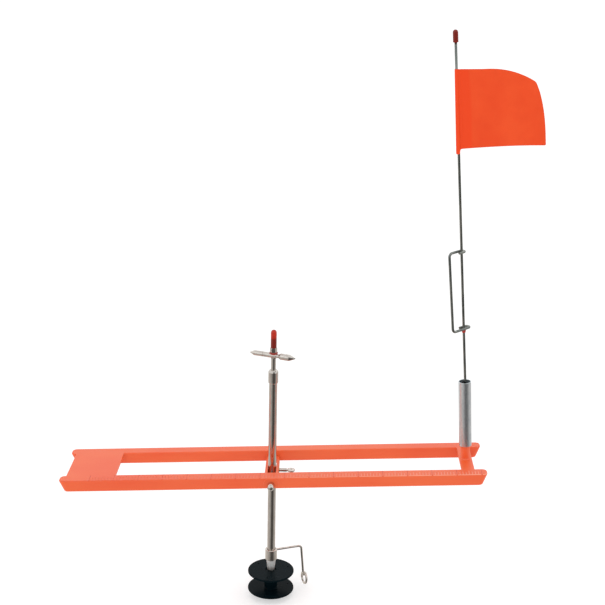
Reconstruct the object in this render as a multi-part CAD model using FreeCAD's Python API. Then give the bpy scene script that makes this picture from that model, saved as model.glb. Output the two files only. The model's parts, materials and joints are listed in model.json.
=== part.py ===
"""Rail-type ice fishing tip-up: a moulded ladder frame, a folding shaft with a line spool below
and a trip bar above, and a sprung wire flag mast on a peg.

Millimetres. X runs along the frame towards the flag, Y across it, Z up. The origin is on the
plane of the rails' undersides, straight below the shaft's pivot, where the frame rests over a hole.
"""
import FreeCAD, Part
import math
import os

V = FreeCAD.Vector

# ---- frame ---------------------------------------------------------------------------------
FRAME_LEFT = -221.3          # X of the rails' left tips
FRAME_RIGHT = 223.9          # X of the rails' right tips
FRAME_WIDTH = 80.0
FRAME_HEIGHT = 12.0
RAIL_WIDTH = 13.0
WALL = 2.5                   # moulded wall of the hollow rails
EDGE_R = 1.0                 # rounding of the rails' long top edges
END_UNDERCUT = 5.2           # how much shorter the rails are at the bottom
END_R = 4.5                  # rounding of the rails' ends, seen from above
TOE_R = 2.0                  # rounding of the rails' ends where they meet the ice
RIB_PITCH = 44.0             # cross ribs inside the rails
PLATE_LEFT = -214.8
PLATE_LENGTH = 51.6
PLATE_THICK = 2.5
BAR_WIDTH = 13.2             # cross-bar under the mast
INCH = 25.4
RULER_INCHES = 16
RULER_ZERO = -189.0
TICK_WIDTH = 0.6
TICK_DEPTH = 0.35
TICK_LENGTHS = {8: 11.4, 4: 8.6, 2: 7.2, 1: 6.4}   # by eighths: inch, half, quarter, eighth

# ---- pivot and hub -------------------------------------------------------------------------
PIVOT_Z = 4.0
PIVOT_R = 2.0                # shoulder of the pivot screws
RUN = 0.05                   # radial running clearance
BOSS_R = 8.0
BOSS_RAISE = 0.5
SHAFT_LEAN = 2.72            # degrees, the shaft's top leaning towards the flag
HUB_INNER = 4.4              # half gap between the hub's cheeks, which the tube slides in
HUB_OUTER = 7.1
HUB_TOP = 2.2
HUB_BOTTOM = -7.5
HUB_HALF = 26.3              # half length across the frame
HUB_BLOCK = 6.5              # length of each solid end block
HUB_LIFT = -3.2              # underside of the end blocks
WASHER_T = 0.6
SCREW_HEAD_R = 3.7
SCREW_HEAD_LENGTH = 5.4      # up to the dome
CLAMP_Z = -1.8               # thumb screw below the pivot
CLAMP_R = 1.95

# ---- shaft, along its own axis from the pivot ----------------------------------------------
TUBE_X = -0.55               # the tube and the hub's cheeks lie this far to the pivot's left
TUBE_R = 4.3
TUBE_BORE_R = 3.5
TUBE_TOP = 109.0
TUBE_BOTTOM = -114.0
ROD_R = 2.5
BUSH_LENGTH = 9.0
FERRULE_R = 5.2
FERRULE_TOP = 112.2
FERRULE_LENGTH = 14.8
LOWER_FERRULE_R = 5.1
LOWER_FERRULE_TOP = -98.7
LOWER_FERRULE_TIP = -121.4
COLLAR_R = 6.4
COLLAR_TOP = -96.2
COLLAR_BOTTOM = -108.3
GUIDE_YAW = 20.0             # degrees, line guide turned away from the frame's near side
GUIDE_WIRE_R = 1.2
GUIDE_REACH = 34.5
GUIDE_SPLAY = 5.0            # degrees, the guide's leg leaning outwards
EYE_R = 5.8                  # centre line of the guide's eye
EYE_Z = -139.0
EYE_PITCH = 2.7
EYE_NECK = 1.9               # how far above the eye the leg starts to bend into it
EYE_STEP = 45.0              # degrees of eye to each bend
EYE_BENDS = 10

# ---- rotor ---------------------------------------------------------------------------------
SPOOL_R = 25.0
SPOOL_TOP = -121.9
SPOOL_BOTTOM = -144.5
FLANGE_T = 1.8
CORE_R = 7.2
BAR_Z = 127.7
BAR_YAW = -19.5              # degrees, the bar's notched end turned towards the near side
BAR_R = 2.75
BAR_FLAT = 0.25              # flat cut on the bar under the washer
BAR_WASHER_T = 1.0
STUD_R = 1.6                 # rod above the bar's seat
STUD_TOP = 146.2
NUT_TOP = 136.3
CAP_TOP = 155.9
CAP_R = 3.05

# ---- mast ----------------------------------------------------------------------------------
PEG_X = 204.4
PEG_R = 4.75
PEG_HEIGHT = 34.0
FIN_THICK = 1.4              # fins on the peg that fit the socket's bore
SOCKET_LEAN = 1.09           # degrees, towards the shaft
SOCKET_LOW = 15.5
SOCKET_TOP = 87.0
SOCKET_R = 6.6
SOCKET_BORE_R = 5.85
WIRE_LEAN = 2.15             # degrees, towards the shaft
WIRE_OFFSET = 0.45           # the wire leaves the socket's mouth this far from its middle
WIRE_R = 1.35
WIRE_ROOT = -49.0            # along the wire from the socket's mouth
WIRE_TOP = 356.5
FLEX_Z = 27.0                # middle of the stretch where the wire bends
FLEX_GAP = 1.45
STOP_LOW = 53.8
STOP_LENGTH = 3.4
STOP_R = 2.2
BAIL_LOW = 58.7
BAIL_HIGH = 139.7
BAIL_REACH = 14.0            # from the mast to the bail's leg, at its upper end
BAIL_FOOT_REACH = 17.6       # the same at its lower end
BAIL_YAW = 38.0              # degrees, the bail turned towards the near side
LOOP_R = 2.85
MAST_CAP_LOW = 346.5
MAST_CAP_TOP = 358.5
MAST_CAP_R = 2.6
FLAG_LOW = 244.5
FLAG_TOP = 320.8
FLAG_LENGTH = 84.0
FLAG_THICK = 0.7
FLAG_FALL = 1.5              # drop of the top edge before its outer curve
FLAG_HEM = 12.0
SLEEVE_LOW = 239.9
SLEEVE_R = 1.85


# ---- helpers -------------------------------------------------------------------------------
def box(x0, x1, y0, y1, z0, z1):
    return Part.makeBox(x1 - x0, y1 - y0, z1 - z0, V(x0, y0, z0))


def rod_x(r, x0, x1, y=0.0, z=0.0):
    return Part.makeCylinder(r, x1 - x0, V(x0, y, z), V(1, 0, 0))


def rod_y(r, y0, y1, x=0.0, z=0.0):
    return Part.makeCylinder(r, y1 - y0, V(x, y0, z), V(0, 1, 0))


def rod_z(r, z0, z1, x=0.0, y=0.0):
    return Part.makeCylinder(r, z1 - z0, V(x, y, z0), V(0, 0, 1))


def tube_z(r_out, r_in, z0, z1):
    return rod_z(r_out, z0, z1).cut(rod_z(r_in, z0 - 1.0, z1 + 1.0))


def face_of(points):
    """Flat face inside a closed run of points."""
    return Part.Face(Part.makePolygon(points + [points[0]]))


def lathe(profile):
    """Solid of revolution about Z from (radius, height) points."""
    face = face_of([V(r, 0, z) for r, z in profile])
    return face.revolve(V(0, 0, 0), V(0, 0, 1), 360)


def lathe_x(profile):
    """Solid of revolution about X from (position, radius) points."""
    face = face_of([V(x, 0, r) for x, r in profile])
    return face.revolve(V(0, 0, 0), V(1, 0, 0), 360)


def turned(shape, axis, degrees, centre=V(0, 0, 0)):
    copy = shape.copy()
    copy.rotate(centre, axis, degrees)
    return copy


def moved(shape, x=0.0, y=0.0, z=0.0):
    copy = shape.copy()
    copy.translate(V(x, y, z))
    return copy


def bent_rod(points, radii, r):
    """Round rod along straight runs joined by tangent arcs; radii belong to the inner points."""
    edges = []
    start = points[0]
    for before, corner, after, radius in zip(points, points[1:], points[2:], radii):
        into = (corner - before).normalize()
        out = (after - corner).normalize()
        turn = into.getAngle(out)
        back = radius * math.tan(turn / 2.0)
        first = corner - into * back
        last = corner + out * back
        inward = (out - into).normalize()
        middle = corner + inward * (radius / math.cos(turn / 2.0) - radius)
        if (first - start).Length > 1e-4:
            edges.append(Part.LineSegment(start, first).toShape())
        edges.append(Part.Arc(first, middle, last).toShape())
        start = last
    edges.append(Part.LineSegment(start, points[-1]).toShape())
    path = Part.Wire(edges)
    aim = (points[1] - points[0]).normalize()
    section = Part.Wire([Part.Circle(points[0], aim, r).toShape()])
    return path.makePipeShell([section], True, False)


def save(name, shape):
    os.makedirs("parts", exist_ok=True)
    shape.exportStep("parts/%s.step" % name)
    sound = shape.isValid()
    print("%-20s valid %s  solids %d  volume %.2f" % (name, sound, len(shape.Solids), shape.Volume))


# ---- placing the three leaning assemblies ----------------------------------------------------
def on_shaft(shape):
    """Shaft assembly: built upright on the tube's axis about the pivot, then leaned."""
    leaned = turned(moved(shape, TUBE_X), V(0, 1, 0), SHAFT_LEAN)
    return moved(leaned, 0, 0, PIVOT_Z)


def on_hub(shape):
    """Hub: built upright about the pivot, then leaned with the shaft."""
    return moved(turned(shape, V(0, 1, 0), SHAFT_LEAN), 0, 0, PIVOT_Z)


def on_socket(shape):
    """Mast socket: built upright on the peg's axis from the frame's top, then leaned."""
    return moved(turned(shape, V(0, 1, 0), -SOCKET_LEAN), PEG_X, 0, FRAME_HEIGHT)


def on_wire(shape):
    """Mast wire: built upright from the socket's mouth, then leaned."""
    lean = math.radians(SOCKET_LEAN)
    mouth_x = PEG_X - SOCKET_TOP * math.sin(lean) + WIRE_OFFSET
    mouth_z = FRAME_HEIGHT + SOCKET_TOP * math.cos(lean)
    return moved(turned(shape, V(0, 1, 0), -WIRE_LEAN), mouth_x, 0, mouth_z)


# ---- frame -----------------------------------------------------------------------------------
def side_outline(inset, top, bottom):
    """Outline of a rail seen from the side, with undercut ends."""
    slope = END_UNDERCUT / FRAME_HEIGHT
    left = FRAME_LEFT + inset
    right = FRAME_RIGHT - inset
    low = slope * (FRAME_HEIGHT - bottom)
    high = slope * (FRAME_HEIGHT - top)
    return face_of([V(left + high, 0, top), V(right - high, 0, top),
                    V(right - low, 0, bottom), V(left + low, 0, bottom)])


def rail_slab(width, inset, top, bottom):
    """A rail before any rounding, centred on Y."""
    return moved(side_outline(inset, top, bottom).extrude(V(0, width, 0)), 0, -width / 2.0, 0)


def rail_body(width, inset, top, bottom, end_r):
    """One rail, its ends rounded seen from above."""
    body = rail_slab(width, inset, top, bottom)
    return body.makeFillet(end_r, [e for e in body.Edges if e.BoundBox.ZLength > 0.6 * (top - bottom)])


def rounded_toes(width, top):
    """A wide slab with the rails' profile, rounded where their ends meet the ice."""
    slab = rail_slab(width, 0.0, top, 0.0)
    toes = [e for e in slab.Edges if e.BoundBox.XLength < 0.01 and e.BoundBox.ZMax < 0.01]
    return slab.makeFillet(TOE_R, toes)


def rail(side):
    """Hollow rail, open underneath, with cross ribs and a solid block at the pivot."""
    body = rail_body(RAIL_WIDTH, 0.0, FRAME_HEIGHT, 0.0, END_R)
    body = body.makeFillet(EDGE_R, [e for e in body.Edges if e.BoundBox.ZMin > FRAME_HEIGHT - 0.01])
    body = body.common(rounded_toes(2 * RAIL_WIDTH, FRAME_HEIGHT))
    core = rail_body(RAIL_WIDTH - 2 * WALL, WALL, FRAME_HEIGHT - WALL, -1.0, END_R - WALL)
    half = RAIL_WIDTH / 2.0
    ribs = int((FRAME_RIGHT - FRAME_LEFT) / RIB_PITCH)
    for n in range(1, ribs + 1):
        x = FRAME_LEFT + n * RIB_PITCH
        core = core.cut(box(x - 1.0, x + 1.0, -half, half, 2.0, FRAME_HEIGHT))
    core = core.cut(box(-BOSS_R - 1, BOSS_R + 1, -half, half, -2.0, FRAME_HEIGHT))
    body = body.cut(core)
    outer = side * half
    boss = rod_y(BOSS_R, min(outer, outer + side * BOSS_RAISE), max(outer, outer + side * BOSS_RAISE),
                 0.0, PIVOT_Z)
    boss = boss.common(box(-BOSS_R, BOSS_R, -half - 1, half + 1, 0.4, FRAME_HEIGHT - 1.2))
    body = body.fuse(boss)
    body = body.cut(rod_y(PIVOT_R + RUN, -half - 2, half + 2, 0.0, PIVOT_Z))
    return moved(body, 0, side * (FRAME_WIDTH - RAIL_WIDTH) / 2.0, 0)


def end_plate(inner):
    """Thin plate joining the rails at the left, with two ribs below it."""
    right = PLATE_LEFT + PLATE_LENGTH
    plate = box(PLATE_LEFT, right, -inner - 1, inner + 1, FRAME_HEIGHT - PLATE_THICK, FRAME_HEIGHT)
    for x in (PLATE_LEFT + 6.0, right - 8.0):
        plate = plate.fuse(box(x, x + 2.0, -inner - 1, inner + 1, 3.0, FRAME_HEIGHT - 1.0))
    return plate


def cross_bar(inner):
    """Thin bar joining the rails at the right, ribbed below, with the mast peg on top."""
    bar = box(PEG_X - BAR_WIDTH / 2.0, PEG_X + BAR_WIDTH / 2.0, -inner - 1, inner + 1,
              FRAME_HEIGHT - 3.0, FRAME_HEIGHT)
    bar = bar.fuse(box(PEG_X - 1.25, PEG_X + 1.25, -inner - 1, inner + 1, 2.0, FRAME_HEIGHT - 1.0))
    peg = lathe([(0, -2.0), (PEG_R + 1.4, -2.0), (PEG_R + 1.4, 0.1), (PEG_R + 0.6, 0.5), (PEG_R + 0.2, 1.0),
                 (PEG_R, 1.8), (PEG_R, PEG_HEIGHT - 1.5), (PEG_R - 1.5, PEG_HEIGHT), (0, PEG_HEIGHT)])
    reach = math.sqrt((SOCKET_BORE_R - RUN) ** 2 - (FIN_THICK / 2.0) ** 2)
    fin = face_of([V(-reach, 0, SOCKET_LOW + 2.5), V(reach, 0, SOCKET_LOW + 2.5),
                   V(reach, 0, PEG_HEIGHT - 3.0), V(3.6, 0, PEG_HEIGHT - 0.6),
                   V(-3.6, 0, PEG_HEIGHT - 0.6), V(-reach, 0, PEG_HEIGHT - 3.0)])
    fin = moved(fin.extrude(V(0, FIN_THICK, 0)), 0, -FIN_THICK / 2.0, 0)
    peg = peg.fuse([fin, turned(fin, V(0, 0, 1), 90)])
    leaned = turned(peg, V(0, 1, 0), -SOCKET_LEAN)
    return bar.fuse(moved(leaned, PEG_X, 0, FRAME_HEIGHT))


def ruler_ticks():
    """Grooves of the inch ruler on the near rail's top, marked in eighths."""
    ticks = []
    edge = -FRAME_WIDTH / 2.0 + 0.8
    for n in range(RULER_INCHES * 8 + 1):
        step = next(k for k in (8, 4, 2, 1) if n % k == 0)
        x = RULER_ZERO + n * INCH / 8.0
        ticks.append(box(x - TICK_WIDTH / 2, x + TICK_WIDTH / 2, edge, edge + TICK_LENGTHS[step],
                         FRAME_HEIGHT - TICK_DEPTH, FRAME_HEIGHT + 1.0))
    return ticks


def ladder_frame():
    inner = FRAME_WIDTH / 2.0 - RAIL_WIDTH
    body = rail(-1).fuse([rail(1), end_plate(inner), cross_bar(inner)]).removeSplitter()
    return body.cut(Part.makeCompound(ruler_ticks()))


# ---- hub and clamp ---------------------------------------------------------------------------
def pivot_hub():
    """Moulded hub: two cheeks across the frame, end blocks for the screws, a guide for the tube."""
    left, right = TUBE_X - HUB_INNER, TUBE_X + HUB_INNER
    hub = box(TUBE_X - HUB_OUTER, TUBE_X + HUB_OUTER, -HUB_HALF, HUB_HALF, HUB_BOTTOM, HUB_TOP)
    longs = [e for e in hub.Edges if e.BoundBox.YLength > 10]
    hub = hub.makeFillet(0.8, longs)
    bay = HUB_HALF - HUB_BLOCK
    hub = hub.cut(box(left, right, -bay, bay, HUB_BOTTOM - 1, HUB_TOP + 1))
    hub = hub.cut(box(left, right, -HUB_HALF - 1, HUB_HALF + 1, HUB_BOTTOM - 1, HUB_LIFT))
    guide = box(left - 0.5, right + 0.5, -TUBE_R - 3, TUBE_R + 3, HUB_BOTTOM, -4.8)
    hub = hub.fuse(guide)
    hub = hub.cut(rod_z(TUBE_R + RUN, HUB_BOTTOM - 1, HUB_TOP + 1, TUBE_X))
    hub = hub.cut(rod_y(1.6, -HUB_HALF - 1, -bay + 1)).cut(rod_y(1.6, bay - 1, HUB_HALF + 1))
    return hub.cut(rod_x(3.0, right - 1, right + 4, 0, CLAMP_Z))


def pivot_screw(side):
    """Shoulder screw with a tall domed head, seated on the rail's boss."""
    seat = FRAME_WIDTH / 2.0 + BOSS_RAISE
    shoulder = HUB_HALF
    tip = shoulder - HUB_BLOCK + 0.3
    dome = seat + SCREW_HEAD_LENGTH
    profile = [(tip, 0), (tip, 1.2), (tip + 0.4, 1.6), (shoulder, 1.6), (shoulder, PIVOT_R),
               (seat + RUN, PIVOT_R), (seat + RUN, SCREW_HEAD_R), (dome, SCREW_HEAD_R)]
    for n in range(1, 7):
        a = math.radians(15.0 * n)
        profile.append((dome + SCREW_HEAD_R * math.sin(a), SCREW_HEAD_R * math.cos(a)))
    profile[-1] = (dome + SCREW_HEAD_R, 0)
    screw = lathe_x(profile)
    return turned(screw, V(0, 0, 1), 90 * side)


def pivot_washers():
    """Two plain washers that space the hub from the rails."""
    ring = rod_y(3.1, 0, WASHER_T).cut(rod_y(PIVOT_R + RUN, -1, 1 + WASHER_T))
    return Part.makeCompound([moved(ring, 0, HUB_HALF, 0), moved(ring, 0, -HUB_HALF - WASHER_T, 0)])


def clamp_insert():
    """Threaded bush in the hub's right cheek, with a thin flange outside it."""
    inner, outer = TUBE_X + HUB_INNER, TUBE_X + HUB_OUTER
    body = rod_x(3.0, inner, outer, 0, CLAMP_Z)
    flange = rod_x(3.6, outer, outer + 0.5, 0, CLAMP_Z)
    return body.fuse(flange).cut(rod_x(CLAMP_R + RUN, inner - 1, outer + 2, 0, CLAMP_Z))


def thumb_screw():
    """Clamp screw with a flattened oval head."""
    tip = TUBE_X + TUBE_R + 0.03
    shank = lathe_x([(tip, 0), (tip, 1.2), (tip + 0.8, CLAMP_R), (14.6, CLAMP_R), (15.6, 1.5), (17.4, 1.5),
                     (17.4, 0)])
    paddle = Part.makeCylinder(4.2, 2.2, V(0, 0, -1.1))
    paddle = paddle.makeFillet(0.9, paddle.Edges[:1] + paddle.Edges[2:3])
    paddle = moved(paddle, 19.6, 0, 0).cut(rod_z(0.9, -2, 2, 19.9))
    return moved(shank.fuse(paddle), 0, 0, CLAMP_Z)


# ---- shaft -----------------------------------------------------------------------------------
def shaft_tube():
    return tube_z(TUBE_R, TUBE_BORE_R, TUBE_BOTTOM, TUBE_TOP)


def top_ferrule():
    """Cap pressed over the tube's top end, with rounded shoulders."""
    low = FERRULE_TOP - FERRULE_LENGTH
    hole = ROD_R + 0.15
    return lathe([(TUBE_R, low), (FERRULE_R - 0.5, low), (FERRULE_R, low + 0.8), (FERRULE_R, FERRULE_TOP - 2.6),
                  (FERRULE_R - 0.4, FERRULE_TOP - 1.3), (FERRULE_R - 1.3, FERRULE_TOP - 0.35),
                  (FERRULE_R - 2.0, FERRULE_TOP), (hole, FERRULE_TOP), (hole, FERRULE_TOP - 1.4),
                  (TUBE_R, FERRULE_TOP - 1.4)])


def bottom_ferrule():
    """Tapered cap over the tube's bottom end, which also carries the guide collar."""
    hole = ROD_R + 0.15
    cone_top = COLLAR_BOTTOM - 0.6
    floor = TUBE_BOTTOM - 2.2
    return lathe([(TUBE_R, LOWER_FERRULE_TOP), (LOWER_FERRULE_R - 0.4, LOWER_FERRULE_TOP),
                  (LOWER_FERRULE_R, LOWER_FERRULE_TOP - 0.4), (LOWER_FERRULE_R, cone_top),
                  (4.0, LOWER_FERRULE_TIP + 0.6), (3.5, LOWER_FERRULE_TIP), (hole, LOWER_FERRULE_TIP),
                  (hole, floor), (TUBE_R, floor)])


def bushing(z0):
    """Plain bearing pressed into the tube's end."""
    return tube_z(TUBE_BORE_R, ROD_R + RUN, z0, z0 + BUSH_LENGTH)


def seal(z, thick):
    """O-ring round the rod, held in the ferrule's recess."""
    major = ROD_R + 0.03 + thick / 2.0
    return Part.makeTorus(major, thick / 2.0, V(0, 0, z))


# ---- line guide ------------------------------------------------------------------------------
def guide_collar():
    """Sleeve that turns on the bottom ferrule and hangs on its shoulder by an inner lip."""
    lip = LOWER_FERRULE_TOP + 0.1
    bore = LOWER_FERRULE_R + RUN
    return lathe([(4.6, lip), (4.6, COLLAR_TOP - 0.4), (5.0, COLLAR_TOP), (COLLAR_R - 0.4, COLLAR_TOP),
                  (COLLAR_R, COLLAR_TOP - 0.4), (COLLAR_R, COLLAR_BOTTOM + 0.4),
                  (COLLAR_R - 0.4, COLLAR_BOTTOM), (bore, COLLAR_BOTTOM), (bore, lip)])


def guide_wire():
    """Arm, leg and one and a half turns of eye, whose axis points along the arm."""
    z = COLLAR_TOP - 1.9
    neck_z = EYE_Z + EYE_R + EYE_NECK
    leg_x = GUIDE_REACH + (z - neck_z) * math.tan(math.radians(GUIDE_SPLAY))
    points = [V(COLLAR_R - 1.0, 0, z), V(GUIDE_REACH, 0, z), V(leg_x, 0, neck_z)]
    corner_r = EYE_R / math.cos(math.radians(EYE_STEP / 2.0))
    for n in range(1, EYE_BENDS + 1):
        a = math.radians(EYE_STEP * n)
        x = leg_x + EYE_PITCH * EYE_STEP * n / 360.0
        points.append(V(x, corner_r * math.sin(a), EYE_Z + corner_r * math.cos(a)))
    radii = [3.5, 2.6] + [EYE_R * 0.95] * (EYE_BENDS - 1)
    wire = bent_rod(points, radii, GUIDE_WIRE_R)
    return wire.cut(rod_z(COLLAR_R, z - 5, z + 5))


# ---- rotor -----------------------------------------------------------------------------------
def trip_rod():
    """Rod through the tube, stepped down where the trip bar and the spool are clamped."""
    seat = BAR_Z - BAR_R
    low = SPOOL_BOTTOM - 0.6
    return lathe([(0, low), (STUD_R, low), (STUD_R, SPOOL_TOP - 3.0), (ROD_R, SPOOL_TOP - 3.0), (ROD_R, seat),
                  (STUD_R, seat), (STUD_R, STUD_TOP - 0.4), (STUD_R - 0.4, STUD_TOP), (0, STUD_TOP)])


def trip_bar():
    """Cross bar with a plain end and a notched, heavier end, both pointed."""
    profile = [(-26.3, 0), (-26.1, 0.5), (-21.5, BAR_R), (-11.8, BAR_R), (-11.5, BAR_R - 0.45),
               (-10.9, BAR_R - 0.45), (-10.6, BAR_R), (3.0, BAR_R), (3.6, 2.1), (6.0, 2.1), (8.0, 3.4),
               (17.6, 3.4), (24.2, 0.4), (24.4, 0)]
    bar = moved(lathe_x(profile), 0, 0, BAR_Z)
    flat = box(-4.6, 4.6, -3, 3, BAR_Z + BAR_R - BAR_FLAT, BAR_Z + 4)
    seat = box(-ROD_R - 0.2, ROD_R + 0.2, -3, 3, BAR_Z - 4, BAR_Z - BAR_R + 0.01)
    bar = bar.cut([flat, seat, rod_z(STUD_R + 0.01, BAR_Z - 5, BAR_Z + 5)])
    return turned(bar, V(0, 0, 1), BAR_YAW)


def bar_washer():
    z = BAR_Z + BAR_R - BAR_FLAT
    return tube_z(4.4, STUD_R + 0.02, z, z + BAR_WASHER_T)


def bar_nut():
    """Hexagon nut, chamfered top and bottom."""
    low = BAR_Z + BAR_R - BAR_FLAT + BAR_WASHER_T
    hexagon = face_of([V(3.75 * math.cos(math.radians(60 * n)), 3.75 * math.sin(math.radians(60 * n)), low)
                       for n in range(6)]).extrude(V(0, 0, NUT_TOP - low))
    keep = lathe([(0, low), (3.3, low), (3.8, low + 0.4), (3.8, NUT_TOP - 0.4), (3.3, NUT_TOP), (0, NUT_TOP)])
    return hexagon.common(keep).cut(rod_z(STUD_R + 0.02, low - 1, NUT_TOP + 1))


def vinyl_cap(low, top, r_out, r_in, inside_top):
    """Dipped vinyl cap: round-nosed, hollow, with a slightly rolled lip."""
    profile = [(r_in, low), (r_out - 0.25, low), (r_out, low + 0.4), (r_out, top - r_out)]
    for n in range(1, 7):
        a = math.radians(15.0 * n)
        profile.append((r_out * math.cos(a), top - r_out + r_out * math.sin(a)))
    profile[-1] = (0, top)
    profile += [(0, inside_top), (r_in, inside_top)]
    return lathe(profile)


def spool():
    """Flanged spool with a recess for the ferrule's tip, a nut pocket and line-tie holes."""
    rim = SPOOL_R - 1.0
    low_in = SPOOL_BOTTOM + FLANGE_T
    high_in = SPOOL_TOP - FLANGE_T
    body = lathe([(STUD_R + 0.02, SPOOL_BOTTOM + 4.0), (4.2, SPOOL_BOTTOM + 4.0), (4.2, SPOOL_BOTTOM),
                  (rim, SPOOL_BOTTOM), (SPOOL_R, SPOOL_BOTTOM + 0.5), (SPOOL_R, low_in - 0.3),
                  (rim + 0.6, low_in), (CORE_R + 1.0, low_in), (CORE_R, low_in + 1.0),
                  (CORE_R, high_in - 1.0), (CORE_R + 1.0, high_in), (rim + 0.6, high_in),
                  (SPOOL_R, high_in + 0.3), (SPOOL_R, SPOOL_TOP - 0.5), (rim, SPOOL_TOP),
                  (6.1, SPOOL_TOP), (6.1, SPOOL_TOP - 1.2), (ROD_R + 0.02, SPOOL_TOP - 1.2),
                  (ROD_R + 0.02, SPOOL_TOP - 3.0), (STUD_R + 0.02, SPOOL_TOP - 3.0)])
    holes = []
    for n, radius in enumerate((18.5, 19.5, 18.5)):
        a = math.radians(120.0 * n - 100.0)
        holes.append(rod_z(0.9, SPOOL_BOTTOM - 1, SPOOL_TOP + 1, radius * math.cos(a), radius * math.sin(a)))
    return body.cut(holes)


def spool_washer():
    z = SPOOL_BOTTOM + 4.0
    return tube_z(3.9, STUD_R + 0.02, z - 0.8, z)


def spool_nut():
    high = SPOOL_BOTTOM + 3.2
    hexagon = face_of([V(3.6 * math.cos(math.radians(60 * n)), 3.6 * math.sin(math.radians(60 * n)), high - 2.8)
                       for n in range(6)]).extrude(V(0, 0, 2.8))
    return hexagon.cut(rod_z(STUD_R + 0.02, high - 4, high + 1))


# ---- mast ------------------------------------------------------------------------------------
def socket_tube():
    return tube_z(SOCKET_R, SOCKET_BORE_R, SOCKET_LOW, SOCKET_TOP)


def wire_stub(low, high, domed):
    """A length of mast wire; a flexing end is domed about its flex point."""
    stub = rod_z(WIRE_R, low, high)
    if domed:
        stub = stub.fuse(Part.makeSphere(WIRE_R, V(0, 0, high))).removeSplitter()
    return stub


def mast_plug(wire_root):
    """Plug pressed into the socket tube, which rests on the peg and grips the wire's foot."""
    low = PEG_HEIGHT + RUN
    high = low + 20.0
    r = SOCKET_BORE_R
    plug = lathe([(0, low), (r - 0.8, low), (r, low + 0.8), (r, high - 0.8), (r - 0.8, high), (0, high)])
    return on_socket(plug).cut(wire_root)


def bail_stop():
    """Tapered friction sleeve below the bail."""
    r_in = WIRE_R + RUN
    return lathe([(r_in, STOP_LOW), (STOP_R - 0.5, STOP_LOW), (STOP_R, STOP_LOW + 1.8),
                  (STOP_R, STOP_LOW + STOP_LENGTH), (r_in, STOP_LOW + STOP_LENGTH)])


def bail_wire():
    """Catch bail: a bent wire with a hook round the mast at each end."""
    tail = V(-6.0, -LOOP_R, BAIL_HIGH)
    points = [tail, V(LOOP_R, -LOOP_R, BAIL_HIGH), V(LOOP_R, LOOP_R, BAIL_HIGH),
              V(-BAIL_REACH, LOOP_R, BAIL_HIGH), V(-BAIL_FOOT_REACH, -LOOP_R, BAIL_LOW),
              V(6.6, -LOOP_R, BAIL_LOW), V(6.6, LOOP_R, BAIL_LOW), V(-3.2, LOOP_R, BAIL_LOW)]
    hook = LOOP_R - 0.02
    bail = bent_rod(points, [hook, hook, 4.0, 3.5, hook, hook], WIRE_R)
    return turned(bail, V(0, 0, 1), BAIL_YAW)


def flag():
    """Vinyl flag: a sleeve round the wire, a doubled hem and a body with a curved outer corner."""
    shoulder = V(28.0, 0, FLAG_TOP - FLAG_FALL)
    corner = V(75.1, 0, FLAG_TOP - 18.0)
    edge_start = V(FLAG_LENGTH, 0, FLAG_LOW + 8.5)
    top_run = corner.x - shoulder.x
    top_drop = shoulder.z - corner.z
    top_r = (top_run ** 2 + top_drop ** 2) / (2 * top_drop)
    side_r = ((corner.z - edge_start.z) ** 2 + (FLAG_LENGTH - corner.x) ** 2) / (2 * (FLAG_LENGTH - corner.x))
    top_turn = math.asin(top_run / top_r) / 2.0
    side_turn = math.asin((corner.z - edge_start.z) / side_r) / 2.0
    top_mid = V(shoulder.x + top_r * math.sin(top_turn), 0, shoulder.z - top_r * (1 - math.cos(top_turn)))
    side_mid = V(FLAG_LENGTH - side_r * (1 - math.cos(side_turn)), 0,
                 edge_start.z + side_r * math.sin(side_turn))
    outline = [Part.LineSegment(V(0, 0, FLAG_LOW), V(0, 0, FLAG_TOP)),
               Part.LineSegment(V(0, 0, FLAG_TOP), shoulder),
               Part.Arc(shoulder, top_mid, corner),
               Part.Arc(corner, side_mid, edge_start),
               Part.LineSegment(edge_start, V(FLAG_LENGTH, 0, FLAG_LOW)),
               Part.LineSegment(V(FLAG_LENGTH, 0, FLAG_LOW), V(0, 0, FLAG_LOW))]
    face = Part.Face(Part.Wire([piece.toShape() for piece in outline]))
    body = moved(face.extrude(V(0, FLAG_THICK, 0)), 0, -FLAG_THICK / 2.0, 0)
    hem = box(0, FLAG_HEM, -FLAG_THICK * 0.8, FLAG_THICK * 0.8, FLAG_LOW, FLAG_TOP)
    slope = face_of([V(0, -2, FLAG_TOP), V(shoulder.x, -2, shoulder.z), V(shoulder.x, -2, FLAG_TOP)])
    hem = hem.cut(slope.extrude(V(0, 4, 0)))
    body = body.fuse([hem, rod_z(SLEEVE_R, SLEEVE_LOW, FLAG_TOP)])
    return body.cut(rod_z(WIRE_R + RUN, SLEEVE_LOW - 1, FLAG_TOP + 1))


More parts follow.
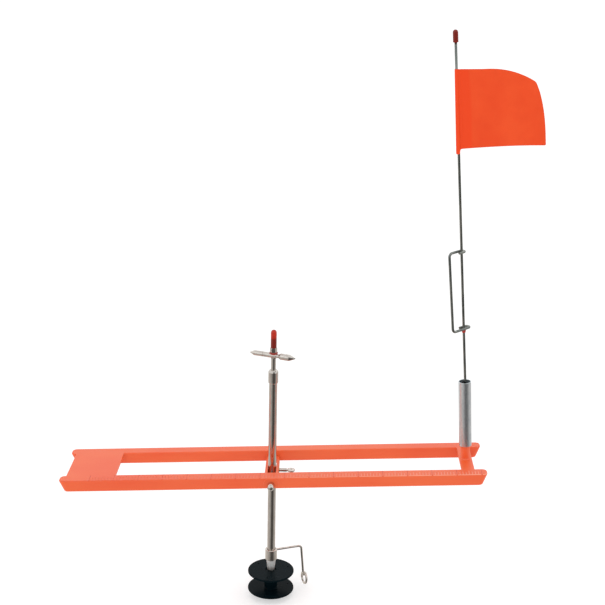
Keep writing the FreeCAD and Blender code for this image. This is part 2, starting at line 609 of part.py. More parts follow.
# ---- the whole assembly ----------------------------------------------------------------------
def main():
    save("ladder_frame", ladder_frame())

    save("pivot_hub", on_hub(pivot_hub()))
    save("pivot_screw_near", on_hub(pivot_screw(-1)))
    save("pivot_screw_far", on_hub(pivot_screw(1)))
    save("pivot_washers", on_hub(pivot_washers()))
    save("clamp_insert", on_hub(clamp_insert()))
    save("thumb_screw", on_hub(thumb_screw()))

    save("shaft_tube", on_shaft(shaft_tube()))
    save("top_ferrule", on_shaft(top_ferrule()))
    save("bottom_ferrule", on_shaft(bottom_ferrule()))
    save("upper_bushing", on_shaft(bushing(TUBE_TOP - BUSH_LENGTH)))
    save("lower_bushing", on_shaft(bushing(TUBE_BOTTOM)))
    save("upper_seal", on_shaft(seal(TUBE_TOP + 0.9, 1.6)))
    save("lower_seal", on_shaft(seal(TUBE_BOTTOM - 1.1, 1.6)))

    save("guide_collar", on_shaft(guide_collar()))
    save("guide_wire", on_shaft(turned(guide_wire(), V(0, 0, 1), GUIDE_YAW)))

    save("trip_rod", on_shaft(trip_rod()))
    save("trip_bar", on_shaft(trip_bar()))
    save("bar_washer", on_shaft(bar_washer()))
    save("bar_nut", on_shaft(bar_nut()))
    save("rod_cap", on_shaft(vinyl_cap(NUT_TOP, CAP_TOP, CAP_R, STUD_R, STUD_TOP)))
    save("spool", on_shaft(spool()))
    save("spool_washer", on_shaft(spool_washer()))
    save("spool_nut", on_shaft(spool_nut()))

    wire_root = on_wire(wire_stub(WIRE_ROOT, FLEX_Z, True))
    save("socket_tube", on_socket(socket_tube()))
    save("mast_plug", mast_plug(wire_root))
    save("mast_wire_root", wire_root)
    save("mast_wire", on_wire(wire_stub(FLEX_Z + FLEX_GAP, WIRE_TOP, False)))
    save("mast_cap", on_wire(vinyl_cap(MAST_CAP_LOW, MAST_CAP_TOP, MAST_CAP_R, WIRE_R, WIRE_TOP)))
    save("flag", on_wire(flag()))
    save("bail_stop", on_wire(bail_stop()))
    save("bail_wire", on_wire(bail_wire()))


main()
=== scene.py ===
"""Looks of the ice fishing tip-up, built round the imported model.

Metres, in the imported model's frame: X runs along the frame towards the flag, Y away from the ruled
rail, Z up, and the origin lies on the plane of the rails' undersides below the shaft's pivot.
"""

import json
import math

import bmesh
import bpy
from mathutils import Matrix, Vector


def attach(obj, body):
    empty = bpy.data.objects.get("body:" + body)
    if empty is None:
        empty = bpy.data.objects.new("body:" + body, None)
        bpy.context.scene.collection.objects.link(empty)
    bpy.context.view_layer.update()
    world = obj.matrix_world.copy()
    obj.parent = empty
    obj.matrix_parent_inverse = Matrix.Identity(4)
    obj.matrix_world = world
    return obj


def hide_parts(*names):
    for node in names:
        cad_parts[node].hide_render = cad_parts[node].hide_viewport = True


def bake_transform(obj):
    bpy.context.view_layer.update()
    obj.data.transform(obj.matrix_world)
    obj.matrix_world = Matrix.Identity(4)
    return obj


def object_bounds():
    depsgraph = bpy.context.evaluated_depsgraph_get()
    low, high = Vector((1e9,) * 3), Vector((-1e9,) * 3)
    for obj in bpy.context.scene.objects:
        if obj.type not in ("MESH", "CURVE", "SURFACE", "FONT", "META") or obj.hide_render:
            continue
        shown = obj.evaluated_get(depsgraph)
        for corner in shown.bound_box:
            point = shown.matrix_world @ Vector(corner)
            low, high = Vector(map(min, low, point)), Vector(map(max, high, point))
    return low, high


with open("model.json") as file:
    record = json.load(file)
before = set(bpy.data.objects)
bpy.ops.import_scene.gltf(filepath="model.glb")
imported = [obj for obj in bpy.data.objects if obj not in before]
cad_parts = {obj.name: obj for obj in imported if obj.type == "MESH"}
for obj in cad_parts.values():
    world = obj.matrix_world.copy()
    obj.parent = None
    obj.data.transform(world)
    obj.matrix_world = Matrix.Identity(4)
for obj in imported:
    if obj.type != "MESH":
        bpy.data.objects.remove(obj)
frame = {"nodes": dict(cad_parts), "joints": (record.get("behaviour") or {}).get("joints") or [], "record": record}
CAD_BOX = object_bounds()
MM = 0.001

# ---- the three leaning axes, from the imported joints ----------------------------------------
JOINTS = {joint["name"]: joint for joint in frame["joints"]}
SHAFT_AXIS = Vector(JOINTS["rotor_spin"]["axis"]).normalized()
SHAFT_POINT = Vector(JOINTS["rotor_spin"]["pos_m"])
WIRE_AXIS = Vector(JOINTS["bail_slide"]["axis"]).normalized()
WIRE_BEND = Vector(JOINTS["mast_bend"]["pos_m"])
BEND_HEIGHT = 27.0 * MM            # the bend's place along the wire, from the socket's mouth

# ---- driving dimensions --------------------------------------------------------------------
INCH = 25.4 * MM
RULER_ZERO = -189.0 * MM           # first inch mark, along X
GROOVE_Z = 11.65 * MM              # floor of the ruler's grooves
GROOVE_Y = -27.5 * MM              # the grooves lie on the near side of this
GROOVE_MARGIN = 0.2 * MM
STUD_TOP = 150.1 * MM              # top of the rod inside its cap, above the ice
MAST_CAP_FROM = 2.0 * STUD_TOP     # red vinyl above this is the mast's cap, which the wire fills
TAPER_MIDDLE = -115.3 * MM         # middle of the lower ferrule's taper, along the shaft from the pivot
TAPER_HALF = 6.4 * MM
TAPER_R = 5.4 * MM
WIRE_R = 1.35 * MM
WIRE_FOOT = -49.0 * MM             # heights on the mast are along the wire, from the socket's mouth
WIRE_TOP = 356.5 * MM
BEND_REACH = 19.0 * MM             # half length of the stretch that bends
FLAG_BOTTOM = 244.0 * MM
FLAG_TOP = 321.3 * MM
FLAG_LENGTH = 84.6 * MM
FLAG_HEM = 11.8 * MM
FLAG_THICK = 0.32 * MM
FLAG_START = 1.2 * MM              # both layers leave the sleeve this far from the wire's axis
FLAG_PLANE = -0.35 * MM            # the single layer's place across the wire
HEM_GAP = 0.42 * MM                # from the single layer to the hem behind it
HEM_INSET = 0.3 * MM
HEM_LIFT = 0.72 * MM               # how far each layer swells at the sleeve
BODY_LIFT = 0.55 * MM
SLEEVE_TOP_R = 1.80 * MM
SLEEVE_LOW_R = 2.60 * MM
SLEEVE_TAIL = 5.2 * MM             # the sleeve's reach below the flag
SLEEVE_EASE = 3.2 * MM             # length over which the layers swell into the sleeve
SLEEVE_START = math.radians(36.0)
SLEEVE_TURN = math.radians(288.0)
HEM_STEPS = 6
SLEEVE_STEPS = 12
BODY_STEPS = 32
FLAG_ROWS = 30
SOCKET_GRAIN = 0.019               # leans of the metal's grain, in radians
WIRE_GRAIN = 0.037
FLOOR_GAP = 4.0 * MM


def along_wire(height):
    return WIRE_BEND + WIRE_AXIS * (height - BEND_HEIGHT)


def wire_frame():
    """Matrix whose Z runs up the mast wire from the socket's mouth, with Y across the frame."""
    y = Vector((0, 1, 0))
    x = y.cross(WIRE_AXIS).normalized()
    matrix = Matrix((x, y, WIRE_AXIS)).transposed().to_4x4()
    return Matrix.Translation(along_wire(0.0)) @ matrix


# ---- camera --------------------------------------------------------------------------------
def build_camera():
    place = Vector((0.07409, -1.19778, 0.57386))
    yaw, pitch, roll = (math.radians(a) for a in (-1.772, 17.829, 1.716))
    forward = Vector((math.sin(yaw) * math.cos(pitch), math.cos(yaw) * math.cos(pitch), -math.sin(pitch)))
    right = Vector((math.cos(yaw), -math.sin(yaw), 0.0))
    down = forward.cross(right)
    across = right * math.cos(roll) + down * math.sin(roll)
    below = down * math.cos(roll) - right * math.sin(roll)
    turn = Matrix((across, -below, -forward)).transposed().to_4x4()
    data = bpy.data.cameras.new("camera")
    data.sensor_width = 36.0
    data.lens = 73.57
    data.clip_start = 0.02
    data.clip_end = 60.0
    camera = bpy.data.objects.new("camera", data)
    bpy.context.scene.collection.objects.link(camera)
    camera.matrix_world = Matrix.Translation(place) @ turn
    bpy.context.scene.camera = camera


# ---- node helpers --------------------------------------------------------------------------
def srgb(r, g, b):
    """Linear colour from the usual 0 to 255 values."""
    def linear(c):
        c = c / 255.0
        return c / 12.92 if c <= 0.04045 else ((c + 0.055) / 1.055) ** 2.4
    return (linear(r), linear(g), linear(b), 1.0)


def add(tree, kind, inputs=None, **settings):
    """One shader node, with its settings and its inputs set or linked."""
    node = tree.nodes.new(kind)
    for name, value in settings.items():
        setattr(node, name, value)
    for name, value in (inputs or {}).items():
        if isinstance(value, bpy.types.NodeSocket):
            tree.links.new(value, node.inputs[name])
        else:
            node.inputs[name].default_value = value
    return node


def shader(name):
    material = bpy.data.materials.new(name)
    material.use_nodes = True
    material.node_tree.nodes.clear()
    return material, material.node_tree


def place_of(tree, stretch=(1.0, 1.0, 1.0), lean=0.0):
    """Object coordinates in metres, turned upright about Y and stretched for grain that runs one way."""
    coords = add(tree, "ShaderNodeTexCoord").outputs["Object"]
    turn = add(tree, "ShaderNodeMapping", {"Vector": coords, "Rotation": (0.0, lean, 0.0)})
    return add(tree, "ShaderNodeMapping", {"Vector": turn.outputs[0], "Scale": stretch}).outputs[0]


def noise(tree, vector, scale, detail=3.0, rough=0.55):
    return add(tree, "ShaderNodeTexNoise",
               {"Vector": vector, "Scale": scale, "Detail": detail, "Roughness": rough}).outputs["Fac"]


def ranged(tree, value, low, high, to_low, to_high, smooth=False):
    """Map a value from one range to another, clamped."""
    kind = "SMOOTHSTEP" if smooth else "LINEAR"
    node = add(tree, "ShaderNodeMapRange", {"Value": value, "From Min": low, "From Max": high,
                                            "To Min": to_low, "To Max": to_high}, interpolation_type=kind)
    return node.outputs[0]


def mixed(tree, factor, first, second):
    node = add(tree, "ShaderNodeMix", data_type="RGBA")
    for socket, value in zip((node.inputs[0], node.inputs[6], node.inputs[7]), (factor, first, second)):
        if isinstance(value, bpy.types.NodeSocket):
            tree.links.new(value, socket)
        else:
            socket.default_value = value
    return node.outputs[2]


def maths(tree, operation, first, second=0.0):
    node = add(tree, "ShaderNodeMath", operation=operation)
    for socket, value in zip(node.inputs, (first, second)):
        if isinstance(value, bpy.types.NodeSocket):
            tree.links.new(value, socket)
        else:
            socket.default_value = value
    return node.outputs[0]


def bumped(tree, height, distance, strength, normal=None):
    inputs = {"Height": height, "Distance": distance, "Strength": strength}
    if normal is not None:
        inputs["Normal"] = normal
    return add(tree, "ShaderNodeBump", inputs).outputs[0]


def edge_mask(tree, radius):
    """One on edges that meet at an angle, nothing on flat faces."""
    rounded = add(tree, "ShaderNodeBevel", {"Radius": radius}, samples=4).outputs[0]
    flat = add(tree, "ShaderNodeNewGeometry").outputs["Normal"]
    same = add(tree, "ShaderNodeVectorMath", {0: rounded, 1: flat}, operation="DOT_PRODUCT").outputs["Value"]
    return ranged(tree, same, 0.80, 0.995, 1.0, 0.0)


def finish_surface(tree, inputs):
    surface = add(tree, "ShaderNodeBsdfPrincipled", inputs)
    add(tree, "ShaderNodeOutputMaterial", {"Surface": surface.outputs[0]})


# ---- materials -----------------------------------------------------------------------------
def ruler_marks(tree, colour):
    """Painted light in the ruler's grooves: a painted highlight in the short ones that grows paler towards the
    flag, and a painted shade in deep orange at each inch.
    """
    coords = add(tree, "ShaderNodeTexCoord").outputs["Object"]
    x, y, z = add(tree, "ShaderNodeSeparateXYZ", {"Vector": coords}).outputs
    groove = maths(tree, "COMPARE", z, GROOVE_Z)
    groove.node.inputs[2].default_value = GROOVE_MARGIN
    groove = maths(tree, "MULTIPLY", groove, maths(tree, "LESS_THAN", y, GROOVE_Y))
    inches = maths(tree, "DIVIDE", maths(tree, "SUBTRACT", x, RULER_ZERO), INCH)
    inch = maths(tree, "LESS_THAN", maths(tree, "PINGPONG", inches, 0.5), 0.03)
    towards_flag = ranged(tree, x, -150.0 * MM, 210.0 * MM, 0.0, 1.0)
    # painted highlight for the short grooves, paler towards the flag
    painted_groove_highlight = mixed(tree, towards_flag, srgb(230, 84, 36), srgb(252, 176, 148))
    # the inch grooves get a painted shade, srgb(222, 60, 14)
    return mixed(tree, groove, colour, mixed(tree, inch, painted_groove_highlight, srgb(222, 60, 14)))


def orange_plastic():
    """Moulded polypropylene: satin, with faint flow marks, fine grain and rubbed edges."""
    material, tree = shader("orange_plastic")
    place = place_of(tree)
    flow = noise(tree, place_of(tree, (0.35, 1.0, 1.0)), 26.0, 2.0)
    grain = noise(tree, place, 2600.0, 2.0)
    scuff = noise(tree, place_of(tree, (1.0, 3.0, 2.0)), 420.0, 5.0, 0.7)
    deep = srgb(241, 89, 36)
    pale = srgb(244, 101, 46)
    colour = mixed(tree, ranged(tree, flow, 0.35, 0.65, 0.0, 1.0), deep, pale)
    rubbed = maths(tree, "MULTIPLY", edge_mask(tree, 0.7 * MM), ranged(tree, scuff, 0.42, 0.62, 0.15, 0.55))
    colour = mixed(tree, rubbed, colour, srgb(250, 156, 120))
    # painted highlight and painted shade in the ruler's grooves
    colour = ruler_marks(tree, colour)
    rough = ranged(tree, scuff, 0.3, 0.7, 0.34, 0.46)
    normal = bumped(tree, flow, 0.10 * MM, 0.5, bumped(tree, grain, 0.012 * MM, 0.6))
    finish_surface(tree, {"Base Color": colour, "Roughness": rough, "Normal": normal,
                          "Specular IOR Level": 0.74, "Subsurface Weight": 0.06,
                          "Subsurface Radius": (3.0 * MM, 0.9 * MM, 0.4 * MM), "Subsurface Scale": 1.0})
    return material


def taper_mask(tree):
    """Matt part of the lower ferrule's taper, fading towards its tip, and nothing elsewhere."""
    coords = add(tree, "ShaderNodeTexCoord").outputs["Object"]
    arm = add(tree, "ShaderNodeVectorMath", {0: coords, 1: SHAFT_POINT}, operation="SUBTRACT").outputs[0]
    height = add(tree, "ShaderNodeVectorMath", {0: arm, 1: SHAFT_AXIS}, operation="DOT_PRODUCT")
    across = add(tree, "ShaderNodeVectorMath", {0: arm, 1: SHAFT_AXIS}, operation="CROSS_PRODUCT").outputs[0]
    radius = add(tree, "ShaderNodeVectorMath", {0: across}, operation="LENGTH").outputs["Value"]
    level = maths(tree, "COMPARE", height.outputs["Value"], TAPER_MIDDLE)
    level.node.inputs[2].default_value = TAPER_HALF
    fade = ranged(tree, height.outputs["Value"], TAPER_MIDDLE - TAPER_HALF, TAPER_MIDDLE, 0.1, 1.0)
    level = maths(tree, "MULTIPLY", level, fade)
    return maths(tree, "MULTIPLY", level, maths(tree, "LESS_THAN", radius, TAPER_R))


def metal(name, colour, second, rough, lean=0.0, streak=1.0, grain=0.0, spangle=0.0, shine=1.0,
          matt_taper=False):
    """Drawn or plated metal, its fine lines running along an axis that leans by the given angle."""
    material, tree = shader(name)
    lines = noise(tree, place_of(tree, (1.0, 1.0, 0.02), lean), 2400.0, 3.0, 0.6)
    cloud = noise(tree, place_of(tree, (1.0, 1.0, 0.35), lean), 240.0, 4.0, 0.6)
    tint = mixed(tree, ranged(tree, cloud, 0.38, 0.62, 0.0, 1.0), colour, second)
    uneven = maths(tree, "ADD", maths(tree, "MULTIPLY", lines, 0.08 * streak),
                   maths(tree, "MULTIPLY", cloud, 0.10 * streak))
    roughness = maths(tree, "ADD", uneven, rough - 0.07 * streak)
    normal = bumped(tree, lines, 0.010 * MM, 0.35 * streak)
    if grain:
        normal = bumped(tree, noise(tree, place_of(tree), 5200.0, 2.0), 0.02 * MM, grain, normal)
    if spangle:
        cells = add(tree, "ShaderNodeTexVoronoi", {"Vector": place_of(tree, (1.0, 1.0, 0.4)), "Scale": 900.0})
        shade = add(tree, "ShaderNodeRGBToBW", {"Color": cells.outputs["Color"]}).outputs[0]
        tint = mixed(tree, ranged(tree, shade, 0.3, 0.7, 0.0, spangle), tint, srgb(168, 182, 190))
    if matt_taper:
        mask = taper_mask(tree)
        tint = mixed(tree, mask, tint, srgb(228, 228, 226))
        roughness = maths(tree, "ADD", roughness, maths(tree, "MULTIPLY", mask, 0.3))
        shine = maths(tree, "SUBTRACT", shine, maths(tree, "MULTIPLY", mask, 0.5))
    finish_surface(tree, {"Base Color": tint, "Metallic": shine, "Roughness": roughness, "Normal": normal})
    return material


def black_plastic():
    """Glossy black moulding, slightly uneven, with fine scratches and a little dust."""
    material, tree = shader("black_plastic")
    place = place_of(tree)
    cloud = noise(tree, place, 130.0, 3.0)
    scratch = noise(tree, place_of(tree, (1.0, 14.0, 1.0)), 260.0, 5.0, 0.7)
    colour = mixed(tree, cloud, srgb(4, 16, 21), srgb(9, 23, 28))
    dust = ranged(tree, scratch, 0.60, 0.74, 0.0, 0.10)
    colour = mixed(tree, dust, colour, srgb(48, 62, 66))
    rough = ranged(tree, cloud, 0.3, 0.7, 0.18, 0.30)
    normal = bumped(tree, cloud, 0.05 * MM, 0.25, bumped(tree, scratch, 0.01 * MM, 0.3))
    finish_surface(tree, {"Base Color": colour, "Roughness": rough, "Normal": normal,
                          "Specular IOR Level": 0.038})
    return material


def red_vinyl():
    """Dipped translucent vinyl, darker where the rod fills it."""
    material, tree = shader("red_vinyl")
    cloud = noise(tree, place_of(tree, (1.0, 1.0, 0.5)), 420.0, 3.0)
    coords = add(tree, "ShaderNodeTexCoord").outputs["Object"]
    height = add(tree, "ShaderNodeSeparateXYZ", {"Vector": coords}).outputs["Z"]
    hollow = maths(tree, "MULTIPLY", ranged(tree, height, STUD_TOP - 1.0 * MM, STUD_TOP + 2.0 * MM, 0.0, 1.0),
                   maths(tree, "LESS_THAN", height, MAST_CAP_FROM))
    filled = mixed(tree, cloud, srgb(134, 27, 13), srgb(150, 36, 20))
    clear = mixed(tree, cloud, srgb(190, 40, 18), srgb(206, 52, 26))
    normal = bumped(tree, cloud, 0.05 * MM, 0.3)
    finish_surface(tree, {"Base Color": mixed(tree, hollow, filled, clear), "Roughness": 0.24,
                          "Normal": normal, "Transmission Weight": 0.35, "IOR": 1.46})
    return material


def plain_plastic(name, colour, second, rough, specular=0.5):
    """Small moulded or rubber piece with slight colour clouds and a fine grain."""
    material, tree = shader(name)
    place = place_of(tree)
    cloud = noise(tree, place, 500.0, 4.0)
    grain = noise(tree, place, 4000.0, 2.0)
    finish_surface(tree, {"Base Color": mixed(tree, cloud, colour, second),
                          "Roughness": ranged(tree, grain, 0.3, 0.7, rough - 0.05, rough + 0.08),
                          "Normal": bumped(tree, grain, 0.02 * MM, 0.4), "Specular IOR Level": specular})
    return material


def flag_vinyl():
    """Coated vinyl: a fine weave under a smooth coat, light showing through a single layer."""
    material, tree = shader("flag_vinyl")
    place = place_of(tree)
    cloud = noise(tree, place, 34.0, 3.0)
    fine = noise(tree, place, 1500.0, 2.0)
    weave_x = add(tree, "ShaderNodeTexWave", {"Vector": place, "Scale": 420.0}, bands_direction="X")
    weave_z = add(tree, "ShaderNodeTexWave", {"Vector": place, "Scale": 420.0}, bands_direction="Z")
    weave = maths(tree, "MULTIPLY", weave_x.outputs["Fac"], weave_z.outputs["Fac"])
    doubled = add(tree, "ShaderNodeAttribute", attribute_name="doubled").outputs["Fac"]
    colour = mixed(tree, ranged(tree, cloud, 0.35, 0.65, 0.0, 1.0), srgb(246, 82, 29), srgb(250, 91, 36))
    colour = mixed(tree, doubled, colour, srgb(248, 71, 14))
    normal = bumped(tree, weave, 0.02 * MM, 0.35, bumped(tree, fine, 0.02 * MM, 0.3))
    surface = add(tree, "ShaderNodeBsdfPrincipled",
                  {"Base Color": colour, "Roughness": ranged(tree, fine, 0.3, 0.7, 0.36, 0.48),
                   "Normal": normal, "Specular IOR Level": 0.3})
    through = add(tree, "ShaderNodeBsdfTranslucent", {"Color": colour, "Normal": normal})
    share = ranged(tree, doubled, 0.0, 1.0, 0.22, 0.08)
    both = add(tree, "ShaderNodeMixShader", {0: share, 1: surface.outputs[0], 2: through.outputs[0]})
    add(tree, "ShaderNodeOutputMaterial", {"Surface": both.outputs[0]})
    return material


def build_materials():
    shaft_grain = -math.atan2(SHAFT_AXIS.x, SHAFT_AXIS.z)
    polished = srgb(218, 213, 207)
    nickel = srgb(227, 221, 214)
    plate = srgb(232, 238, 241)
    wire = srgb(160, 162, 156)
    return {
        "orange_plastic": orange_plastic(),
        "black_plastic": black_plastic(),
        "polished_steel": metal("polished_steel", polished, srgb(202, 196, 189), 0.15, shaft_grain, 0.8),
        "nickel": metal("nickel", nickel, srgb(206, 199, 192), 0.20, shaft_grain, 0.5, 0.05, matt_taper=True),
        "zinc": metal("zinc", plate, srgb(218, 226, 231), 0.30, SOCKET_GRAIN, 0.9, 0.06, 0.22, 0.95),
        "spring_steel": metal("spring_steel", wire, srgb(116, 122, 120), 0.24, WIRE_GRAIN, 1.0, 0.15),
        "brass_insert": metal("brass_insert", srgb(214, 176, 100), srgb(190, 150, 80), 0.28),
        "nylon": plain_plastic("nylon", srgb(222, 220, 212), srgb(206, 203, 194), 0.40),
        "rubber_seal": plain_plastic("rubber_seal", srgb(24, 24, 24), srgb(34, 34, 34), 0.55, 0.3),
        "red_washer": plain_plastic("red_washer", srgb(150, 34, 24), srgb(176, 48, 34), 0.32),
        "red_vinyl": red_vinyl(),
        "flag_vinyl": flag_vinyl(),
    }


# ---- mesh helpers --------------------------------------------------------------------------
def piece_from(name, mesh_builder, material):
    """A new object from a function that fills a bmesh, smooth-shaded."""
    mesh = bpy.data.meshes.new(name)
    work = bmesh.new()
    mesh_builder(work)
    bmesh.ops.recalc_face_normals(work, faces=work.faces)
    work.to_mesh(mesh)
    work.free()
    for face in mesh.polygons:
        face.use_smooth = True
    piece = bpy.data.objects.new(name, mesh)
    bpy.context.scene.collection.objects.link(piece)
    mesh.materials.append(material)
    return piece


def loft(work, rings):
    """Quads between closed rings of points, with a face over each end."""
    rows = [[work.verts.new(point) for point in ring] for ring in rings]
    count = len(rows[0])
    for low, high in zip(rows, rows[1:]):
        for n in range(count):
            m = (n + 1) % count
            work.faces.new((low[n], low[m], high[m], high[n]))
    work.faces.new(list(reversed(rows[0])))
    work.faces.new(rows[-1])


# ---- mast wire -----------------------------------------------------------------------------
def build_mast_wire(materials):
    """The sprung wire in one piece, with close rings where it bends above the socket."""
    sides = 24
    heights = [WIRE_FOOT, -20.0 * MM]
    steps = 40
    for n in range(steps + 1):
        heights.append(BEND_HEIGHT - BEND_REACH * 1.1 + 2.2 * BEND_REACH * n / steps)
    heights += [120.0 * MM, 200.0 * MM, 280.0 * MM, WIRE_TOP - 0.02 * MM]
    matrix = wire_frame()

    def fill(work):
        rings = []
        angles = [2.0 * math.pi * n / sides for n in range(sides)]
        for height in heights:
            rings.append([matrix @ Vector((WIRE_R * math.cos(a), WIRE_R * math.sin(a), height))
                          for a in angles])
        loft(work, rings)

    wire = piece_from("mast_spring_wire", fill, materials["spring_steel"])
    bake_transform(wire)
    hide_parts("mast_wire_root", "mast_wire")


# ---- flag ----------------------------------------------------------------------------------
def flag_top(x):
    """Height of the flag's top edge at a distance from the wire."""
    shoulder = 26.0 * MM
    fall = 1.5 * MM
    reach = 49.8 * MM
    drop = 15.5 * MM
    level = FLAG_TOP - fall * max(0.0, min(x / shoulder, 1.0))
    if x <= shoulder:
        return level
    return level - drop * ((x - shoulder) / reach) ** 2.25


def flag_bottom(x):
    """Height of the bottom edge, which dips at the sleeve and towards the free corner."""
    x = max(x, 0.0)
    return FLAG_BOTTOM - 0.5 * MM * math.exp(-x / (18.0 * MM)) - 1.9 * MM * (x / FLAG_LENGTH) ** 3.5


def flag_side(t):
    """Distance of the free edge from the wire at a share t of its height."""
    return FLAG_LENGTH - 7.4 * MM * t ** 3 - 1.5 * MM * t ** 14


def flag_surface(x, height_share):
    """How far the sheet stands from its plane: a slow curl that grows towards the free edge."""
    reach = max(x, 0.0) / FLAG_LENGTH
    curl = math.sin(2.6 * reach + 0.9 * height_share) - math.sin(0.9 * height_share)
    ripple = 0.25 * math.sin(9.0 * reach + 3.0 * height_share) * reach
    return -0.9 * MM * reach * curl - ripple * MM


def sleeve_lift(x):
    """One at the sleeve, falling to nothing where the layers lie flat."""
    return max(0.0, 1.0 - (x - FLAG_START) / SLEEVE_EASE) ** 2


def hem_place(x, t):
    """Place across the wire and the lower and upper ends of the hem's line at a distance from the wire."""
    y = FLAG_PLANE + HEM_GAP + HEM_LIFT * sleeve_lift(x) + flag_surface(x, t)
    return x, y, flag_bottom(x) + HEM_INSET, flag_top(x) - HEM_INSET


def sleeve_place(angle, t):
    """The same for a line on the sleeve, which widens downwards and hangs a tail below the flag."""
    radius = SLEEVE_LOW_R + (SLEEVE_TOP_R - SLEEVE_LOW_R) * t
    low = FLAG_BOTTOM - SLEEVE_TAIL * min(1.0, 1.35 - math.cos(angle))
    return radius * math.cos(angle), radius * math.sin(angle), low, FLAG_TOP + 0.1 * MM


def body_place(share, t):
    """The same for a line of the single layer, at a share of its length."""
    x = FLAG_START + (flag_side(t) - FLAG_START) * share
    y = FLAG_PLANE - BODY_LIFT * sleeve_lift(x) + flag_surface(x, t)
    return x, y, flag_bottom(x), flag_top(x)


def flag_columns():
    """Lines up the sheet: from the hem's free edge, round the wire, and out to the flag's free edge."""
    hem = [(hem_place, FLAG_HEM - (FLAG_HEM - FLAG_START) * n / HEM_STEPS) for n in range(HEM_STEPS + 1)]
    sleeve = [(sleeve_place, SLEEVE_START + SLEEVE_TURN * n / SLEEVE_STEPS) for n in range(1, SLEEVE_STEPS)]
    body = [(body_place, n / BODY_STEPS) for n in range(BODY_STEPS + 1)]
    return hem + sleeve + body


def build_flag(materials):
    """One sheet with its hem and sleeve, marked where it lies double."""
    matrix = wire_frame()
    columns = flag_columns()
    doubled = []
    for place, value in columns:
        single = place is body_place and body_place(value, 0.0)[0] >= FLAG_HEM
        doubled.append(0.0 if single else 1.0)

    def fill(work):
        grid = []
        for row in range(FLAG_ROWS + 1):
            t = row / FLAG_ROWS
            line = []
            for place, value in columns:
                x, y, low, high = place(value, t)
                line.append(work.verts.new(matrix @ Vector((x, y, low + (high - low) * t))))
            grid.append(line)
        for low_row, high_row in zip(grid, grid[1:]):
            for n in range(len(columns) - 1):
                work.faces.new((low_row[n], low_row[n + 1], high_row[n + 1], high_row[n]))

    flag = piece_from("flag_sheet", fill, materials["flag_vinyl"])
    mask = flag.data.attributes.new("doubled", "FLOAT", "POINT")
    count = len(columns)
    for n in range(len(flag.data.vertices)):
        mask.data[n].value = doubled[n % count]
    thick = flag.modifiers.new("thickness", "SOLIDIFY")
    thick.thickness = FLAG_THICK
    thick.offset = 0.0
    smooth = flag.modifiers.new("smooth", "SUBSURF")
    smooth.levels = 1
    smooth.render_levels = 1
    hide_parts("flag")
    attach(flag, "mast_upper")


# ---- studio --------------------------------------------------------------------------------
def tone_ramp(tree, value, stops, tint):
    """Tinted grey levels along a value from 0 to 1."""
    node = add(tree, "ShaderNodeValToRGB", {"Fac": value})
    ramp = node.color_ramp
    while len(ramp.elements) < len(stops):
        ramp.elements.new(0.5)
    for element, (where, level) in zip(ramp.elements, stops):
        element.position = where
        element.color = (level * tint[0], level * tint[1], level * tint[2], 1.0)
    return node.outputs["Color"]


def build_world():
    """Pale studio surroundings, warmer and dimmer below the horizon, with one dark part in front."""
    world = bpy.data.worlds.new("studio")
    bpy.context.scene.world = world
    world.use_nodes = True
    tree = world.node_tree
    tree.nodes.clear()
    direction = add(tree, "ShaderNodeTexCoord").outputs["Generated"]
    bearing = math.radians(18.0)
    dark_side = Vector((math.sin(bearing), -math.cos(bearing), 0.0))
    flat = add(tree, "ShaderNodeVectorMath", {0: direction, 1: (1.0, 1.0, 0.0)}, operation="MULTIPLY")
    flat = add(tree, "ShaderNodeVectorMath", {0: flat.outputs[0]}, operation="NORMALIZE")
    facing = add(tree, "ShaderNodeVectorMath", {0: flat.outputs[0], 1: dark_side}, operation="DOT_PRODUCT")
    around = ranged(tree, facing.outputs["Value"], -1.0, 1.0, 0.0, 1.0)
    low = tone_ramp(tree, around, ((0.0, 0.80), (0.25, 0.66), (0.55, 0.58), (0.78, 0.46), (0.90, 0.28),
                                   (0.96, 0.10), (1.0, 0.08)), (1.0, 0.95, 0.90))
    height = add(tree, "ShaderNodeSeparateXYZ", {"Vector": direction}).outputs["Z"]
    above = ranged(tree, height, -0.10, 0.12, 0.0, 1.0, True)
    colour = mixed(tree, above, low, (1.0, 1.0, 1.0, 1.0))
    light = add(tree, "ShaderNodeBackground", {"Color": colour, "Strength": 1.0})
    add(tree, "ShaderNodeOutputWorld", {"Surface": light.outputs[0]})


def studio_white(name, paint_level, glow):
    material, tree = shader(name)
    paint = add(tree, "ShaderNodeBsdfDiffuse", {"Color": (paint_level, paint_level, paint_level, 1.0)})
    light = add(tree, "ShaderNodeEmission", {"Color": (1.0, 1.0, 1.0, 1.0), "Strength": glow})
    both = add(tree, "ShaderNodeAddShader", {0: paint.outputs[0], 1: light.outputs[0]})
    add(tree, "ShaderNodeOutputMaterial", {"Surface": both.outputs[0]})
    return material


def turned_shell(name, profile, material):
    """A surface turned about Z from pairs of radius and height, for the floor and the far wall."""
    sides = 64
    mesh = bpy.data.meshes.new(name)
    work = bmesh.new()
    rings = []
    angles = [2 * math.pi * n / sides for n in range(sides)]
    for r, z in profile:
        rings.append([work.verts.new((r * math.cos(a), r * math.sin(a), z)) for a in angles])
    for low, high in zip(rings, rings[1:]):
        for n in range(sides):
            m = (n + 1) % sides
            work.faces.new((low[n], low[m], high[m], high[n]))
    work.to_mesh(mesh)
    work.free()
    shell = bpy.data.objects.new(name, mesh)
    bpy.context.scene.collection.objects.link(shell)
    mesh.materials.append(material)
    return shell


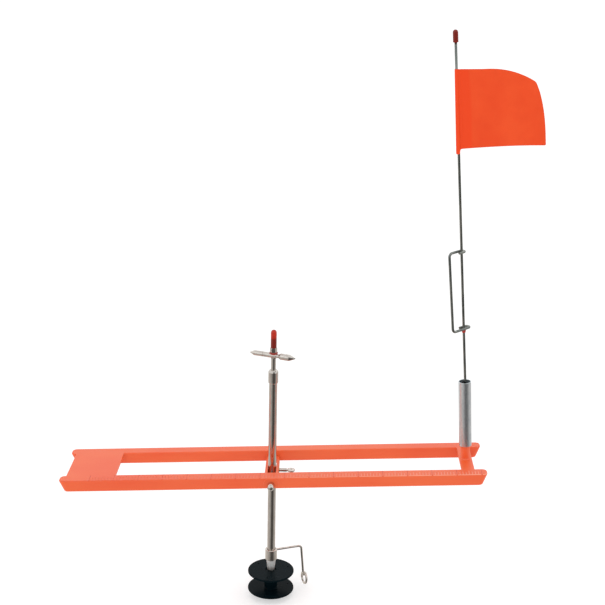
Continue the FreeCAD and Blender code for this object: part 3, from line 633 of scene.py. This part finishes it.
def build_studio():
    """A plain pale floor just under the spool, and a pale wall that only the camera sees."""
    level = CAD_BOX[0].z - FLOOR_GAP
    floor = turned_shell("studio_floor", [(0.0, level), (3.0, level), (9.0, level)],
                         studio_white("studio_floor", 0.60, 0.50))
    floor.visible_glossy = False
    wall = turned_shell("studio_wall", [(8.9, level - 0.01), (9.0, level + 4.0), (6.0, level + 8.0),
                                        (0.001, level + 9.0)], studio_white("studio_wall", 0.0, 1.05))
    wall.visible_glossy = False
    wall.visible_diffuse = False
    wall.visible_transmission = False
    wall.visible_shadow = False


def card(name, place, size, glow):
    """A panel dimmer than the surroundings, turned to the origin, that only shiny surfaces see."""
    x, y = size[0] / 2.0, size[1] / 2.0
    mesh = bpy.data.meshes.new(name)
    mesh.from_pydata([(-x, -y, 0.0), (x, -y, 0.0), (x, y, 0.0), (-x, y, 0.0)], [], [(0, 1, 2, 3)])
    mesh.materials.append(studio_white(name, 0.0, glow))
    panel = bpy.data.objects.new(name, mesh)
    bpy.context.scene.collection.objects.link(panel)
    panel.location = place
    panel.rotation_euler = (-Vector(place)).to_track_quat("-Z", "Y").to_euler()
    panel.visible_camera = False
    panel.visible_diffuse = False
    panel.visible_transmission = False
    panel.visible_shadow = False


def build_cards():
    card("front_card", (1.85, -5.70, 1.56), (4.0, 4.4), 0.14)
    card("top_card", (0.0, 0.3, 4.0), (5.0, 5.0), 0.80)


def soft_light(name, place, aim, size, power):
    data = bpy.data.lights.new(name, "AREA")
    data.shape = "RECTANGLE"
    data.size = size[0]
    data.size_y = size[1]
    data.energy = power
    lamp = bpy.data.objects.new(name, data)
    bpy.context.scene.collection.objects.link(lamp)
    lamp.location = place
    lamp.rotation_euler = (Vector(aim) - Vector(place)).to_track_quat("-Z", "Y").to_euler()
    lamp.visible_glossy = False


def build_lights():
    soft_light("key", (-1.1, -1.4, 1.6), (0.0, 0.0, 0.05), (1.2, 0.9), 2.0)


def main():
    build_camera()
    build_world()
    build_lights()
    build_studio()
    build_cards()
    materials = build_materials()
    slots = {row["node"]: row["material_slot"] for row in frame["record"]["subparts"]}
    for node, piece in frame["nodes"].items():
        piece.data.materials.clear()
        piece.data.materials.append(materials[slots[node]])
    build_mast_wire(materials)
    build_flag(materials)
    bpy.context.scene.view_settings.view_transform = "Standard"


main()
